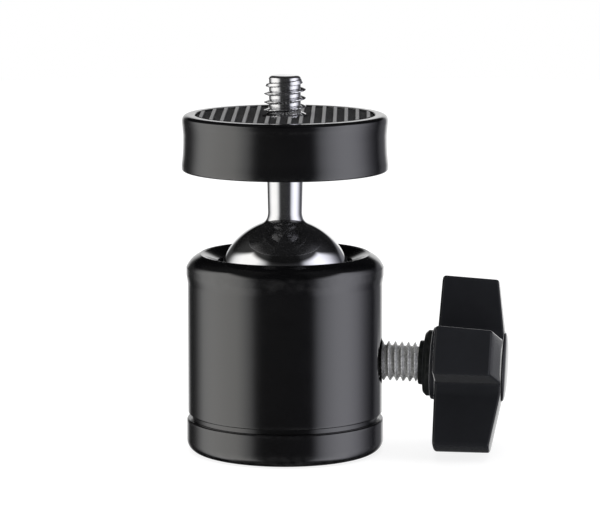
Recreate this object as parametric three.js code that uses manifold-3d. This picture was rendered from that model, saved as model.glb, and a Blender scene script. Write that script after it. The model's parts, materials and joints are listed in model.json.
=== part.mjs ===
// Mini tripod head: a ball and stem, clamped in a turned housing by a side knob, carry a round platform.
// Millimetres, +Z up. The origin is the middle of the foot's underside, where a tripod's screw enters.
// The clamp knob is on the +X side, and the notch that lets the stem drop to level is on the +Y side.

import * as THREE from "three";
import { mergeVertices, toCreasedNormals } from "three/addons/utils/BufferGeometryUtils.js";
import Module from "manifold-3d";

// Clearances, and values that many pieces share
const bearingGap = 0.2; // between faces that bear on one another: the ball, its seats, and the tip
const slideGap = 0.3; // round a piece that slides in the bore
const fitGap = 0.1; // round a piece that is pressed or screwed in
const faceGap = 0.05; // between two faces that are clamped together
const edgeBreak = 0.2; // the small chamfer on turned edges
const overrun = 2; // how far a cut runs past the face that it leaves by
const largeSides = 56;
const smallSides = 32;
const fewSides = 16; // also the steps in one turn of a thread
const ballSides = 36;

// The ball and what it bears on
const ballRadius = 10.25;
const seatRingWall = 1.15;
const seatRingFootRise = 0.3; // the ring's lower face, above the ball's centre
const lipSeatRise = 3.4; // the underside of the lip, above the ball's centre
const linerThickness = 0.75;
const cupFloorThickness = 2.25; // with the liner
const cupSideHeight = 1.5; // its straight side, from the top of its cone to its rim
const cupConeFootRadius = 5;
const cupConeDegrees = 45;
const cupTravelRoom = 2.4; // how far the cup can sink when the knob is loosened

// The housing
const wallThickness = 3.1;
const beadProud = 0.2; // how far the bead under the shoulder stands out of the wall
const beadHeight = 0.5; // also of the slope that leads up to it
const beadRise = 2.6; // the bead's top, above the ball's centre
const ridgeRise = 5; // the lip's highest ring, above the ball's centre
const ridgeInset = 2.1; // from the bead in to the ridge
const ridgeWidth = 0.4;
const dishDepth = 0.9;
const lipOverhang = 0.05; // how much narrower than the ball the mouth is
const shoulderBendShare = [0.44, 0.56]; // where the shoulder's slight curve bends, from bead to ridge
const notchGap = 0.75; // on each side of the stem in the notch

// The foot, which screws into the housing from below
const footHeight = 5;
const footProud = 0.2;
const footEdgeRadius = 1.5;
const grooveHeight = 0.75;
const grooveDepth = 0.6;
const spigotHeight = 4.45;
const spannerHoleRadius = 1.25;
const spannerHoleDepth = 2;
const spannerHoleOffset = 9.5;

// The threaded bush in the foot, for a 1/4 inch tripod screw
const inchThread = { majorRadius: 3.175, rootRadius: 2.42, pitch: 1.27 };
const bushWall = 1.5;
const bushRecess = 0.3; // how far the bush sits up inside the foot
const socketDepth = 8;
const bushRoofThickness = 1.2;
const bushFlangeRadius = 6;
const bushFlangeHeight = 1.2;
const bushMouthChamfer = 0.4;

// The stem
const neckTopRadius = 2.75;
const neckFootRadius = 2.6;
const neckCollarRadius = 3.1;
const neckCollarHeight = 0.5;
const tenonHeight = 4.55; // how far the stem runs up inside the platform
const neckSocketRadius = 1.5;
const neckSocketDepth = 4.5;

// The camera platform
const platformRise = 17.75; // its underside, above the ball's centre
const platformHeight = 8.45;
const waistDepth = 0.24;
const waistRise = 5.5;
const lowerLandHeight = 0.9;
const upperBeadInset = 0.06;
const upperBeadDrop = 1.1; // the upper bead, below the platform's top
const topEdgeInset = 0.95;
const padRecessDepth = 1.65;
const padRidgeWidth = 2.03; // the platform's rim round the pad
const counterboreRadius = 4.7;
const counterboreDepth = 1.95;

// The rubber pad
const padRadius = 13.4;
const padHoleRadius = 3.5;
const padGap = 0.2; // between the pad and the rim round it
const padRibHeight = 0.3;
const padRibWidth = 0.6;
const padRibPitch = 1.68;
const padRibs = 16;
const padRibTurnDegrees = 6; // how far the ribs are turned from running straight back
const adhesiveThickness = 0.15;
const adhesiveInset = 0.3;

// The camera screw
const screwRise = 5.9; // its tip, above the platform's top
const screwTipRadius = 1.75;
const screwTipChamfer = 1;
const screwFlangeRadius = 4.5;
const screwNoseRadius = 1.3;
const screwNoseShare = 0.8; // of the depth of the hole in the stem
const lockWasherThickness = 0.8;
const lockWasherSlit = 0.5;

// The clamp stud and its tip
const clampThread = { majorRadius: 3, rootRadius: 2.4, pitch: 1 };
const studRise = 1.5; // its axis at the wall, above the cup's underside
const studDroopDegrees = 2; // it hangs a little in its thread
const studHoleGap = 0.2;
const countersinkDepth = 0.4;
const threadShown = 5.7; // between the housing and the collar, with the knob tight
const tipRadius = 2.8;
const tipFlatRadius = 0.5;
const tipSkirt = 1.6; // the straight part of the tip, behind its cone
const noseRadius = 1.2;
const noseLength = 1;
const collarRadius = 3.35;
const collarLength = 0.8;
const washerRadius = 5;
const washerThickness = 1.1;
const washerChamfer = 0.5;
const shankRadius = 2.8;
const headAcrossFlats = 8;
const headHeight = 3.5;

// The knob
const knobTipRadius = 13.4;
const knobLobes = 4;
const lobeHalfWidth = 3.65;
const lobeCornerRadius = 0.7;
const lobeHollowRadius = 1.8;
const knobLobeDegrees = 70.5; // where the first lobe points, round the stud from its underside
const knobThickness = 10.2;
const knobEdgeRadius = 0.5;
const knobDraftDegrees = 1.4;
const innerConeDegrees = 1.5;
const outerConeDegrees = 9.7;
const hubRadius = 5.5;
const hubRise = 0.65;
const hubChamfer = 0.3;
const capRadius = 5.2;
const capSkirt = 1.5; // how deep the cap sits in the knob
const capEdgeRise = 0.15;
const capDomeRise = 0.5;

// Sizes and places that follow from those above
const boreRadius = ballRadius + bearingGap + seatRingWall + fitGap;
const bodyRadius = boreRadius + wallThickness;
const footRadius = bodyRadius + footProud;
const housingBottom = footHeight + grooveHeight;
const spigotTop = housingBottom + spigotHeight;
const cupBottom = spigotTop + cupTravelRoom;
const ballCentre = cupBottom + cupFloorThickness + bearingGap + ballRadius;
const seatRadius = ballRadius + bearingGap;
const mouthRadius = ballRadius - lipOverhang;
const lipSeat = ballCentre + lipSeatRise;
const ridgeTop = ballCentre + ridgeRise;
const notchRadius = neckTopRadius + notchGap;
const cupRadius = boreRadius - slideGap;
const padRecessRadius = padRadius + padGap;
const platformRadius = padRecessRadius + padRidgeWidth;
const platformBottom = ballCentre + platformRise;
const platformTop = platformBottom + platformHeight;
const tenonTop = platformBottom + tenonHeight;
const recessFloor = platformTop - padRecessDepth;
const counterboreFloor = recessFloor - counterboreDepth;
const neckBoreRadius = neckTopRadius + fitGap;
const screwTop = platformTop + screwRise;
const bushRadius = inchThread.majorRadius + bushWall;
const bushBoreRadius = inchThread.majorRadius + fitGap;
const bushTop = Math.max(spigotTop, bushRecess + socketDepth + bushRoofThickness);
const studHeight = cupBottom + studRise;
const droop = THREE.MathUtils.degToRad(studDroopDegrees);
const cupConeAngle = THREE.MathUtils.degToRad(cupConeDegrees);
const cupConeTop = cupBottom + (cupRadius - cupConeFootRadius) * Math.tan(cupConeAngle);
const cupRim = cupConeTop + cupSideHeight;
const studHoleRadius = clampThread.majorRadius + studHoleGap;

// Solids: the library that joins and cuts closed meshes
const wasm = await Module();
wasm.setup();
const mergeDistance = 1e-5;
const creaseAngle = THREE.MathUtils.degToRad(30);

// A closed geometry as a solid, without the triangles that collapse where vertices merge.
function solidFrom(geometry) {
  const bare = new THREE.BufferGeometry();
  bare.setAttribute("position", geometry.getAttribute("position"));
  bare.setIndex(geometry.getIndex());
  const merged = mergeVertices(bare, mergeDistance);
  const corners = merged.getIndex().array;
  const kept = [];
  for (let i = 0; i < corners.length; i += 3) {
    const [a, b, c] = corners.slice(i, i + 3);
    if (a !== b && b !== c && c !== a) kept.push(a, b, c);
  }
  const vertProperties = new Float32Array(merged.getAttribute("position").array);
  const triVerts = new Uint32Array(kept);
  return new wasm.Manifold(new wasm.Mesh({ numProp: 3, vertProperties, triVerts }));
}

// A solid as a geometry with soft shading across its round faces.
function geometryFrom(solid) {
  const { numVert, numProp, vertProperties, triVerts } = solid.getMesh();
  const places = new Float32Array(numVert * 3);
  for (let i = 0; i < numVert; i++) {
    places.set(vertProperties.subarray(i * numProp, i * numProp + 3), i * 3);
  }
  const geometry = new THREE.BufferGeometry();
  geometry.setAttribute("position", new THREE.BufferAttribute(places, 3));
  geometry.setIndex(new THREE.BufferAttribute(triVerts, 1));
  return toCreasedNormals(geometry, creaseAngle);
}

// Points on an arc round [x, y], from one angle to another in radians.
function arc([x, y], radius, from, to, steps) {
  const points = [];
  for (let i = 0; i <= steps; i++) {
    const angle = from + ((to - from) * i) / steps;
    points.push([x + radius * Math.cos(angle), y + radius * Math.sin(angle)]);
  }
  return points;
}

// Points on the ball's own curve, grown by a gap, between two heights above its centre.
function ballCurve(gap, fromRise, toRise, steps) {
  const radius = ballRadius + gap;
  const angleAt = (rise) => Math.asin(THREE.MathUtils.clamp(rise / radius, -1, 1));
  return arc([0, ballCentre], radius, angleAt(fromRise), angleAt(toRise), steps);
}

// Points on a curve that leaves one point, bends towards another, and ends at a third.
function bend(from, control, to, steps) {
  const curve = new THREE.QuadraticBezierCurve(
    new THREE.Vector2(...from),
    new THREE.Vector2(...control),
    new THREE.Vector2(...to),
  );
  return curve.getPoints(steps).map((p) => [p.x, p.y]);
}

// A body of revolution about Z, from an outline of [radius, height] points in either direction.
function turned(outline, sides = largeSides) {
  const points = outline.map(([radius, height]) => new THREE.Vector2(radius, height));
  if (THREE.ShapeUtils.area(points) < 0) points.reverse();
  if (points[0].x > 0) points.push(points[0].clone());
  return solidFrom(new THREE.LatheGeometry(points, sides).rotateX(Math.PI / 2));
}

// A plain rod about Z.
function rod(radius, from, to, sides = smallSides) {
  return turned([[0, from], [radius, from], [radius, to], [0, to]], sides);
}

// A box that spans two corners.
function block(low, high) {
  const size = high.map((value, i) => value - low[i]);
  const middle = high.map((value, i) => (value + low[i]) / 2);
  return solidFrom(new THREE.BoxGeometry(...size).translate(...middle));
}

// A hexagonal bar about Z.
function hexagon(acrossFlats, from, to) {
  return rod(acrossFlats / 2 / Math.cos(Math.PI / 6), from, to, 6);
}

// A right-hand thread about Z, closed at both ends: its root, flanks and crest wind up as one strip.
function threadStrip({ majorRadius, rootRadius, pitch }, from, to) {
  const crestHalf = pitch / 16;
  const rootHalf = pitch / 8;
  const section = [
    [rootRadius, rootHalf],
    [majorRadius, pitch / 2 - crestHalf],
    [majorRadius, pitch / 2 + crestHalf],
    [rootRadius, pitch - rootHalf],
  ];
  const steps = Math.ceil(((to - from) / pitch) * fewSides);
  const places = [];
  const corners = [];
  const quad = (a, b, c, d) => corners.push(a, b, c, a, c, d);
  for (let i = 0; i <= steps; i++) {
    const angle = (2 * Math.PI * i) / fewSides;
    const height = from + (pitch * i) / fewSides;
    for (const [radius, rise] of section) {
      places.push(radius * Math.cos(angle), radius * Math.sin(angle), height + rise);
    }
  }
  for (let i = 0; i < steps; i++) {
    for (let k = 0; k < 3; k++) quad(i * 4 + k, i * 4 + 4 + k, i * 4 + 5 + k, i * 4 + 1 + k);
    if (i < steps - fewSides) {
      const above = (i + fewSides) * 4;
      quad(i * 4 + 3, i * 4 + 7, above + 4, above);
    }
  }
  const lower = [3, 2, 1, 0];
  const upper = [steps * 4, steps * 4 + 1, steps * 4 + 2, steps * 4 + 3];
  for (let i = 1; i <= fewSides; i++) {
    lower.push(i * 4);
    upper.push((steps - i) * 4 + 3);
  }
  for (const [edge, height] of [[lower, from], [upper, to + pitch]]) {
    const middle = places.length / 3;
    places.push(0, 0, height);
    edge.forEach((corner, i) => corners.push(middle, edge[(i + 1) % edge.length], corner));
  }
  const geometry = new THREE.BufferGeometry();
  geometry.setAttribute("position", new THREE.Float32BufferAttribute(places, 3));
  geometry.setIndex(corners);
  return solidFrom(geometry);
}

// A threaded rod about Z that keeps inside an envelope, which shapes its ends.
function threadedRod(thread, from, to, envelope) {
  return threadStrip(thread, from - 2 * thread.pitch, to + thread.pitch).intersect(envelope);
}

// The cut that the stem drops into, open upwards and towards +Y.
function notchCut() {
  const trough = new THREE.CylinderGeometry(notchRadius, notchRadius, bodyRadius + overrun, smallSides);
  trough.translate(0, (bodyRadius + overrun) / 2, ballCentre);
  const top = ridgeTop + overrun;
  const above = block([-notchRadius, 0, ballCentre], [notchRadius, bodyRadius + overrun, top]);
  return solidFrom(trough).add(above);
}

// A solid laid along the stud's axis, for cuts made in the housing's own frame.
function alongStud(solid) {
  const geometry = geometryFrom(solid);
  geometry.rotateY(Math.PI / 2 + droop);
  geometry.translate(bodyRadius, 0, studHeight);
  return solidFrom(geometry);
}

function studHoleCut() {
  const hole = rod(studHoleRadius, -wallThickness - overrun, overrun);
  const countersink = turned([
    [0, -countersinkDepth],
    [studHoleRadius, -countersinkDepth],
    [studHoleRadius + countersinkDepth + overrun, overrun],
    [0, overrun],
  ], smallSides);
  return alongStud(hole.add(countersink));
}

function housing() {
  const beadRadius = bodyRadius + beadProud;
  const bead = ballCentre + beadRise;
  const ridgeRadius = beadRadius - ridgeInset;
  const [outShare, upShare] = shoulderBendShare;
  const bendPoint = [beadRadius - ridgeInset * outShare, bead + (ridgeTop - bead) * upShare];
  const shell = turned([
    [boreRadius, housingBottom],
    [bodyRadius - edgeBreak, housingBottom],
    [bodyRadius, housingBottom + edgeBreak],
    [bodyRadius, bead - beadHeight * 2],
    [beadRadius, bead - beadHeight],
    ...bend([beadRadius, bead], bendPoint, [ridgeRadius, ridgeTop], 6),
    [ridgeRadius - ridgeWidth, ridgeTop - edgeBreak / 2],
    [mouthRadius + edgeBreak, ridgeTop - dishDepth],
    [mouthRadius, ridgeTop - dishDepth - edgeBreak],
    [mouthRadius, lipSeat],
    [boreRadius, lipSeat],
  ]);
  return shell.subtract(notchCut()).subtract(studHoleCut());
}

function seatRing() {
  const outer = boreRadius - fitGap;
  const ring = turned([
    ...ballCurve(bearingGap, seatRingFootRise, lipSeatRise - faceGap, 5),
    [outer, lipSeat - faceGap],
    [outer, ballCentre + seatRingFootRise],
  ]);
  return ring.subtract(notchCut());
}

function cupLiner() {
  const outerGap = bearingGap + linerThickness;
  return turned([
    ...ballCurve(bearingGap, -seatRadius, cupRim - ballCentre, 8),
    ...ballCurve(outerGap, cupRim - ballCentre, -ballRadius - outerGap, 8),
  ], smallSides);
}

function pressureCup() {
  const hollowGap = bearingGap + linerThickness + faceGap;
  return turned([
    ...ballCurve(hollowGap, -ballRadius - hollowGap, cupRim - ballCentre, 8),
    [cupRadius, cupRim],
    [cupRadius, cupConeTop],
    [cupConeFootRadius, cupBottom],
    [0, cupBottom],
  ], smallSides);
}

function baseCap() {
  const spigotRadius = boreRadius - fitGap;
  const holeRadius = bushRadius + fitGap;
  const flangeFloor = spigotTop - bushFlangeHeight - faceGap;
  let cap = turned([
    [holeRadius, 0],
    ...arc([footRadius - footEdgeRadius, footEdgeRadius], footEdgeRadius, -Math.PI / 2, 0, 4),
    [footRadius, footHeight - edgeBreak],
    [footRadius - edgeBreak, footHeight],
    [bodyRadius - grooveDepth, footHeight],
    [bodyRadius - grooveDepth, housingBottom - faceGap],
    [spigotRadius, housingBottom - faceGap],
    [spigotRadius, spigotTop - edgeBreak],
    [spigotRadius - edgeBreak, spigotTop],
    [bushFlangeRadius + fitGap, spigotTop],
    [bushFlangeRadius + fitGap, flangeFloor],
    [holeRadius, flangeFloor],
  ]);
  for (const side of [-1, 1]) {
    const hole = rod(spannerHoleRadius, -overrun, spannerHoleDepth, fewSides);
    cap = cap.subtract(hole.translate([side * spannerHoleOffset, 0, 0]));
  }
  return cap;
}

function tripodInsert() {
  const flangeBottom = spigotTop - bushFlangeHeight;
  const roof = bushRecess + socketDepth;
  return turned([
    [0, roof],
    [bushBoreRadius, roof],
    [bushBoreRadius, bushRecess + bushMouthChamfer],
    [bushBoreRadius + bushMouthChamfer, bushRecess],
    [bushRadius, bushRecess],
    [bushRadius, flangeBottom],
    [bushFlangeRadius, flangeBottom],
    [bushFlangeRadius, bushTop],
    [0, bushTop],
  ], smallSides);
}

function ball() {
  return turned(arc([0, ballCentre], ballRadius, -Math.PI / 2, Math.PI / 2, ballSides / 2), ballSides);
}

function neck() {
  const footRise = Math.sqrt((ballRadius + bearingGap) ** 2 - neckCollarRadius ** 2);
  const collarTop = ballCentre + footRise + neckCollarHeight;
  const stem = turned([
    ...ballCurve(bearingGap, ballRadius + bearingGap, footRise, 4),
    ...bend([neckCollarRadius, ballCentre + footRise], [neckFootRadius, ballCentre + footRise],
      [neckFootRadius, collarTop], 3),
    [neckTopRadius, platformBottom - edgeBreak],
    [neckTopRadius, tenonTop],
    [0, tenonTop],
  ], smallSides);
  return stem.subtract(rod(neckSocketRadius, tenonTop - neckSocketDepth, tenonTop + overrun));
}

function platform() {
  const waist = platformRadius - waistDepth;
  const waistHeight = platformBottom + waistRise;
  const upperBead = platformTop - upperBeadDrop;
  const lowerLand = platformBottom + lowerLandHeight;
  const beadRadius = platformRadius - upperBeadInset;
  return turned([
    [neckBoreRadius, platformBottom],
    [platformRadius - edgeBreak, platformBottom],
    [platformRadius, platformBottom + edgeBreak],
    ...bend([platformRadius, lowerLand], [waist, (lowerLand + waistHeight) / 2], [waist, waistHeight], 4),
    [beadRadius, upperBead],
    ...bend([beadRadius, upperBead + edgeBreak], [beadRadius, platformTop],
      [platformRadius - topEdgeInset, platformTop], 4).slice(1),
    [padRecessRadius, platformTop],
    [padRecessRadius, recessFloor],
    [counterboreRadius, recessFloor],
    [counterboreRadius, counterboreFloor],
    [neckBoreRadius, counterboreFloor],
  ]);
}

function padAdhesive() {
  const inner = counterboreRadius + adhesiveInset;
  const outer = padRadius - adhesiveInset;
  const top = recessFloor + adhesiveThickness;
  return turned([[inner, recessFloor], [outer, recessFloor], [outer, top], [inner, top]], smallSides);
}

function rubberPad() {
  const bottom = recessFloor + adhesiveThickness;
  const sheetTop = platformTop - padRibHeight;
  const disc = turned([
    [padHoleRadius, bottom],
    [padRadius, bottom],
    [padRadius, platformTop],
    [padHoleRadius, platformTop],
  ]);
  let pad = block([-padRadius, -padRadius, bottom], [padRadius, padRadius, sheetTop]);
  for (let i = 0; i < padRibs; i++) {
    const x = (i - (padRibs - 1) / 2) * padRibPitch;
    const low = [x - padRibWidth / 2, -padRadius, sheetTop - padRibHeight];
    const high = [x + padRibWidth / 2, padRadius, platformTop];
    pad = pad.add(block(low, high));
  }
  return pad.intersect(disc).rotate([0, 0, padRibTurnDegrees]);
}

function cameraScrew() {
  const flangeBottom = counterboreFloor + lockWasherThickness + faceGap;
  const flangeTop = recessFloor;
  const noseBottom = tenonTop - neckSocketDepth * screwNoseShare;
  const { majorRadius } = inchThread;
  const chamferSlope = screwTipChamfer / (majorRadius - screwTipRadius);
  const envelope = turned([
    [0, flangeTop - edgeBreak],
    [majorRadius + overrun, flangeTop - edgeBreak],
    [majorRadius + overrun, screwTop - screwTipChamfer - overrun * chamferSlope],
    [screwTipRadius, screwTop],
    [0, screwTop],
  ], fewSides);
  const flange = rod(screwFlangeRadius, flangeBottom, flangeTop);
  const nose = rod(screwNoseRadius, noseBottom, flangeTop);
  return threadedRod(inchThread, flangeTop - edgeBreak, screwTop, envelope).add(flange).add(nose);
}

function lockWasher() {
  const inner = screwNoseRadius + slideGap;
  const bottom = counterboreFloor;
  const top = bottom + lockWasherThickness;
  const ring = turned([
    [inner, bottom], [screwFlangeRadius, bottom], [screwFlangeRadius, top], [inner, top],
  ], smallSides);
  const half = lockWasherSlit / 2;
  const slit = block([-half, 0, bottom - overrun], [half, screwFlangeRadius + overrun, top + overrun]);
  return ring.subtract(slit);
}

// Places along the stud, measured outwards from the housing's surface
const tipConeAngle = cupConeAngle + droop;
const coneRise = Math.tan(cupConeAngle);
const gapRise = bearingGap / Math.cos(cupConeAngle);
const coneRiseAtWall = (bodyRadius - cupConeFootRadius) * coneRise;
const tipApex = (studRise + gapRise - coneRiseAtWall) / (Math.sin(droop) + Math.cos(droop) * coneRise);
const tipShoulder = tipApex + tipRadius / Math.tan(tipConeAngle);
const tipEnd = tipShoulder + tipSkirt;
const threadStart = tipEnd + faceGap;
const collarStart = threadShown;
const washerStart = collarStart + collarLength + faceGap;
const hubStart = washerStart + washerThickness + faceGap;
const knobStart = hubStart + hubRise;
const capFloor = knobStart + knobThickness - capSkirt;
const headStart = capFloor - headHeight;

function thrustTip() {
  const socket = rod(noseRadius + fitGap, tipEnd - noseLength - faceGap, tipEnd + overrun);
  return turned([
    [0, tipApex + tipFlatRadius / Math.tan(tipConeAngle)],
    [tipFlatRadius, tipApex + tipFlatRadius / Math.tan(tipConeAngle)],
    [tipRadius, tipShoulder],
    [tipRadius, tipEnd],
    [0, tipEnd],
  ], smallSides).subtract(socket);
}

function clampStud() {
  const { majorRadius, rootRadius } = clampThread;
  const envelope = turned([
    [0, threadStart],
    [rootRadius, threadStart],
    [majorRadius + overrun, threadStart + majorRadius + overrun - rootRadius],
    [majorRadius + overrun, collarStart],
    [0, collarStart],
  ], fewSides);
  const nose = rod(noseRadius, tipEnd - noseLength, threadStart + overrun);
  const shank = rod(shankRadius, collarStart - faceGap, headStart + faceGap);
  const head = hexagon(headAcrossFlats, headStart, capFloor - faceGap);
  return threadedRod(clampThread, threadStart, collarStart, envelope).add(nose).add(shank).add(head);
}

function studCollar() {
  const inner = shankRadius + fitGap;
  const end = collarStart + collarLength;
  return turned([
    [inner, collarStart + faceGap],
    [collarRadius - edgeBreak, collarStart + faceGap],
    [collarRadius, collarStart + faceGap + edgeBreak],
    [collarRadius, end],
    [inner, end],
  ], smallSides);
}

function knobWasher() {
  const inner = shankRadius + fitGap;
  return turned([
    [inner, washerStart],
    [washerRadius - washerChamfer, washerStart],
    [washerRadius, washerStart + washerChamfer],
    [washerRadius, washerStart + washerThickness],
    [inner, washerStart + washerThickness],
  ], smallSides);
}

// The knob's outline about its axis: straight lobes with rounded corners, and a hollow between each two.
function lobedOutline(inset) {
  const tip = knobTipRadius - inset;
  const half = lobeHalfWidth - inset;
  const hollow = lobeHollowRadius + inset;
  const corner = lobeCornerRadius;
  const across = half - corner;
  const out = Math.sqrt((tip - corner) ** 2 - across ** 2);
  const lean = Math.atan2(across, out);
  const spread = Math.PI / knobLobes;
  const hollowReach = (half + hollow) / Math.sin(spread);
  const hollowCentre = [hollowReach * Math.cos(spread), -hollowReach * Math.sin(spread)];
  const lobe = [
    ...arc(hollowCentre, hollow, Math.PI - spread, Math.PI / 2, 3),
    ...arc([out, -across], corner, -Math.PI / 2, -lean, 3),
    ...arc([0, 0], tip, -lean, lean, 4).slice(1, -1),
    ...arc([out, across], corner, lean, Math.PI / 2, 3),
    ...arc([hollowCentre[0], -hollowCentre[1]], hollow, -Math.PI / 2, -Math.PI + spread, 3).slice(0, -1),
  ];
  const points = [];
  for (let i = 0; i < knobLobes; i++) {
    const turn = (2 * Math.PI * i) / knobLobes + THREE.MathUtils.degToRad(knobLobeDegrees);
    const [c, s] = [Math.cos(turn), Math.sin(turn)];
    points.push(...lobe.map(([x, y]) => [x * c - y * s, x * s + y * c]));
  }
  return points;
}

// The lobed block: rings of the outline, drawn in at the inner edge and by the draft, between two cones.
function lobedBlock() {
  const innerSlope = Math.tan(THREE.MathUtils.degToRad(innerConeDegrees));
  const outerSlope = Math.tan(THREE.MathUtils.degToRad(outerConeDegrees));
  const draft = knobThickness * Math.tan(THREE.MathUtils.degToRad(knobDraftDegrees));
  const innerHeight = (rise) => (radius) => knobStart + rise + radius * innerSlope;
  const outerHeight = (radius) => knobStart + knobThickness - (radius - capRadius) * outerSlope;
  const rings = [];
  for (const [x, y] of arc([knobEdgeRadius, knobEdgeRadius], knobEdgeRadius, -Math.PI / 2, -Math.PI, 3)) {
    rings.push([lobedOutline(x), innerHeight(y)]);
  }
  rings.push([lobedOutline(draft), outerHeight]);
  const places = [];
  for (const [outline, height] of rings) {
    for (const [x, y] of outline) places.push(x, y, height(Math.hypot(x, y)));
  }
  const count = rings[0][0].length;
  const innerMiddle = rings.length * count;
  places.push(0, 0, innerHeight(0)(0), 0, 0, outerHeight(0));
  const corners = [];
  for (let k = 0; k < count; k++) {
    const next = (k + 1) % count;
    for (let i = 0; i < rings.length - 1; i++) {
      const [a, b] = [i * count + k, i * count + next];
      corners.push(a, b, b + count, a, b + count, a + count);
    }
    const last = (rings.length - 1) * count;
    corners.push(innerMiddle, next, k, innerMiddle + 1, last + k, last + next);
  }
  const geometry = new THREE.BufferGeometry();
  geometry.setAttribute("position", new THREE.Float32BufferAttribute(places, 3));
  geometry.setIndex(corners);
  return solidFrom(geometry);
}

function knob() {
  const hub = turned([
    [0, hubStart],
    [hubRadius - hubChamfer, hubStart],
    [hubRadius, hubStart + hubChamfer],
    [hubRadius, knobStart + knobEdgeRadius],
    [0, knobStart + knobEdgeRadius],
  ], smallSides);
  const bore = rod(shankRadius + fitGap, hubStart - overrun, capFloor);
  const pocket = hexagon(headAcrossFlats + 2 * fitGap, headStart - faceGap, capFloor + faceGap);
  const recess = rod(capRadius + fitGap, capFloor, knobStart + knobThickness + overrun);
  return lobedBlock().add(hub).subtract(bore).subtract(pocket).subtract(recess);
}

function knobCap() {
  const face = knobStart + knobThickness;
  const edge = [capRadius, face + capEdgeRise];
  const crown = [0, face + capEdgeRise + capDomeRise];
  return turned([
    [0, capFloor + faceGap],
    [capRadius, capFloor + faceGap],
    ...bend(edge, [capRadius - edgeBreak * 2, crown[1]], crown, 6),
  ], smallSides);
}

// Finishes
function finish(color, roughness, metalness) {
  return () => new THREE.MeshStandardMaterial({ color, roughness, metalness });
}
const blackAnodised = finish(0x1c1c20, 0.32, 0.9);
const chrome = finish(0xd8dadc, 0.06, 1);
const zincPlate = finish(0x9a968c, 0.3, 1);
const blackedSteel = finish(0x24272a, 0.45, 0.7);
const brass = finish(0xb8944e, 0.35, 1);
const blackPlastic = finish(0x1e1f23, 0.5, 0);
const blackNylon = finish(0x141416, 0.55, 0);
const whiteAcetal = finish(0xd9d7cf, 0.5, 0);
const bareAluminium = finish(0xb4b6b8, 0.35, 1);
const blackRubber = finish(0x1a1a1b, 0.8, 0);
const clearGlue = finish(0xb9b28f, 0.6, 0);

function piece(name, solid, material) {
  const mesh = new THREE.Mesh(geometryFrom(solid), material());
  mesh.name = name;
  return mesh;
}

function group(...children) {
  const made = new THREE.Group();
  made.add(...children);
  return made;
}

// The fixed base
const base = group(
  piece("housing", housing(), blackAnodised),
  piece("base_cap", baseCap(), blackAnodised),
  piece("tripod_insert", tripodInsert(), brass),
  piece("seat_ring", seatRing(), blackNylon),
);
const cup = group(
  piece("pressure_cup", pressureCup(), bareAluminium),
  piece("cup_liner", cupLiner(), whiteAcetal),
);

// The stem and what turns with it
const stem = group(piece("ball", ball(), chrome), piece("neck", neck(), chrome));
const top = group(
  piece("platform", platform(), blackAnodised),
  piece("lock_washer", lockWasher(), zincPlate),
  piece("camera_screw", cameraScrew(), chrome),
  piece("pad_adhesive", padAdhesive(), clearGlue),
  piece("rubber_pad", rubberPad(), blackRubber),
);

// The clamp, built along Z and laid along the stud's axis
const clamp = group(
  piece("thrust_tip", thrustTip(), brass),
  piece("clamp_stud", clampStud(), zincPlate),
  piece("stud_collar", studCollar(), blackedSteel),
  piece("knob_washer", knobWasher(), blackedSteel),
  piece("knob", knob(), blackPlastic),
  piece("knob_cap", knobCap(), blackPlastic),
);
clamp.rotation.y = Math.PI / 2 + droop;
clamp.position.set(bodyRadius, 0, studHeight);

export default group(base, cup, stem, top, clamp);
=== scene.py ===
"""Looks of the mini tripod head.

Each CAD piece gets a finer piece in mesh code and its finish, and a studio stands round them all.
"""

import json
import math

import bpy
import numpy as np
from mathutils import Matrix, Vector


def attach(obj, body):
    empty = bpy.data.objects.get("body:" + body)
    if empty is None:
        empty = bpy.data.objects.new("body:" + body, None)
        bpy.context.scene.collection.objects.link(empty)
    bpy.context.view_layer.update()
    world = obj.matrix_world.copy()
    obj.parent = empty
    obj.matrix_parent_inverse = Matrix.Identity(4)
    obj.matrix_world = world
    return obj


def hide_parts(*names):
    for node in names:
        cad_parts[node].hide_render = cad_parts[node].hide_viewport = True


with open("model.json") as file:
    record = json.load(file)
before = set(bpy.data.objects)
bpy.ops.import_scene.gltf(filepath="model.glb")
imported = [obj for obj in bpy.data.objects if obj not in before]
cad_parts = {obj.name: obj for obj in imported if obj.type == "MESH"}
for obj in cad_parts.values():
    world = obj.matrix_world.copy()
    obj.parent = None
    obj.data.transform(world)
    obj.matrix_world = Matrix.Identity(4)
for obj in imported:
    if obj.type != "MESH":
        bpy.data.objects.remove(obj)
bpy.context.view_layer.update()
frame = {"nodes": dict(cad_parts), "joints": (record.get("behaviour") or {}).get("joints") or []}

# Shapes are worked out in millimetres and bumps in microns. These bring them to metres.
MM = 0.001
MICRON = 0.000001

# The sides of a ring on large, middling and small pieces, and the angle between the points on a fillet
FINE = 288
MEDIUM = 144
COARSE = 96
ARC_STEP = math.radians(12)

# A ring with a smaller radius is a point on the axis
TINY = 0.000001

# The clamp's own frame: Z runs out along the stud, from the point where it meets the housing's wall.
KNOB_JOINT = next(j for j in frame["joints"] if j["name"] == "knob_turn")
STUD_AXIS = Vector(KNOB_JOINT["axis"]).normalized()
STUD_LEAN = math.atan2(STUD_AXIS.x, STUD_AXIS.z)
CLAMP = Matrix.Translation(Vector(KNOB_JOINT["pos_m"]) / MM) @ Matrix.Rotation(STUD_LEAN, 4, "Y")


def span(node, clamp=False):
    """A CAD node's lowest and highest point along its axis, and its radius, in millimetres."""
    points = np.array([v.co for v in frame["nodes"][node].data.vertices], float) / MM
    if clamp:
        back = np.array(CLAMP.inverted())
        points = points @ back[:3, :3].T + back[:3, 3]
    return points[:, 2].min(), points[:, 2].max(), np.hypot(points[:, 0], points[:, 1]).max()


# Outlines and skins


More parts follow.
